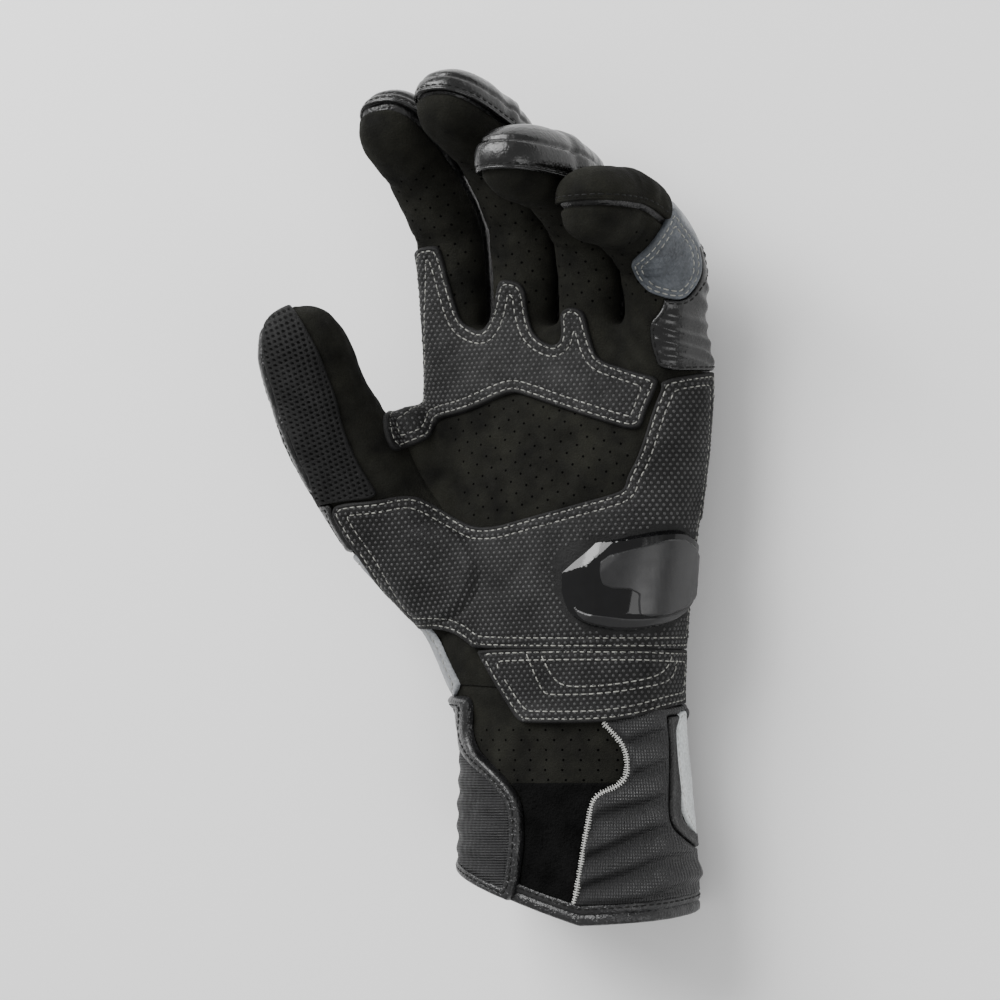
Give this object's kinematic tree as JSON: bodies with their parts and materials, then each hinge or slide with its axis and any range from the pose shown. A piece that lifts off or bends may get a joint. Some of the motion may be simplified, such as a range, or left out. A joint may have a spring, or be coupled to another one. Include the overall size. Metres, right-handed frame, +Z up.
{
  "type": "motorcycle glove",
  "caption": "Left-hand black motorcycle glove, palm up with half-curled fingers, grip overlays, a hard palm slider and a gauntlet cuff with a closure flap.",
  "frame": {"origin": "middle of the underside of the glove's bounding box, on the surface that the back of the glove rests on", "axes": "+Z up out of the palm, +Y the way the fingers point, +X towards the little finger"},
  "size_m": [0.1486, 0.2794, 0.0862],
  "materials": {
    "palm_suede": "matte black suede",
    "black_leather": "smooth black leather with a soft sheen",
    "grip_leather": "matte charcoal leather with raised grip dots",
    "slider_plastic": "gloss black",
    "mesh_fabric": "black pierced spacer mesh",
    "grey_leather": "satin blue-grey leather",
    "ribbed_fabric": "fine ribbed black stretch fabric",
    "loop_fabric": "matte black fuzzy loop",
    "pale_leather": "satin off-white"
  },
  "bodies": {
    "root": {"palm_panel": "palm_suede", "back_panel": "black_leather", "index_front": "palm_suede", "index_back": "black_leather", "middle_front": "palm_suede", "middle_back": "black_leather", "ring_front": "palm_suede", "ring_back": "black_leather", "little_front": "palm_suede", "little_back": "black_leather", "thumb_shell": "palm_suede", "cuff_shell": "palm_suede", "upper_overlay": "grip_leather", "heel_overlay": "grip_leather", "wrist_lobe": "grip_leather", "palm_slider": "slider_plastic", "thumb_mesh": "mesh_fabric", "thumb_back": "black_leather", "grey_patch": "grey_leather", "side_leather": "black_leather", "index_cap": "black_leather", "middle_cap": "black_leather", "ring_cap": "black_leather", "little_cap": "black_leather", "closure_flap": "ribbed_fabric", "rib_panel": "ribbed_fabric", "loop_patch": "loop_fabric", "side_stripe": "pale_leather", "hem_binding": "black_leather", "knuckle_pad": "black_leather"}
  },
  "joints": []
}
